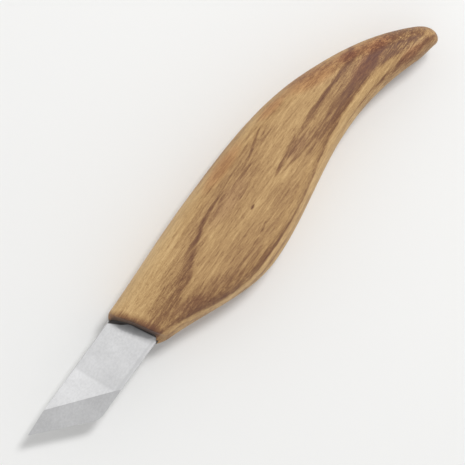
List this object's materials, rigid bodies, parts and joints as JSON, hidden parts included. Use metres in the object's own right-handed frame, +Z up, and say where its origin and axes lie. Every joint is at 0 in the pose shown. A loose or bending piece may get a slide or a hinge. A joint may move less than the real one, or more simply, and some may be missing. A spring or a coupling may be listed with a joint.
{
  "type": "skew carving knife",
  "caption": "Carving knife with a straight skew blade ground to a bevel on both flats and a one-piece wooden handle that swells at the belly and sweeps down into a rounded tail.",
  "frame": {"origin": "on the surface that the knife lies on, under the middle of the box round the whole knife", "axes": "+X along the blade's back from the tip towards the tail, +Y towards the back of the knife, +Z up, square to the flat side that it lies on"},
  "size_m": [0.1776, 0.0346, 0.02],
  "materials": {
    "blade_steel": "fine-ground satin flats and bevels, with bright broken corners",
    "handle_wood": "sanded and oiled open-grained hardwood with brown growth lines",
    "dark_epoxy": "cured dark epoxy, slightly glossy"
  },
  "bodies": {
    "root": {"blade": "blade_steel", "handle": "handle_wood", "tang_epoxy": "dark_epoxy"}
  },
  "joints": []
}
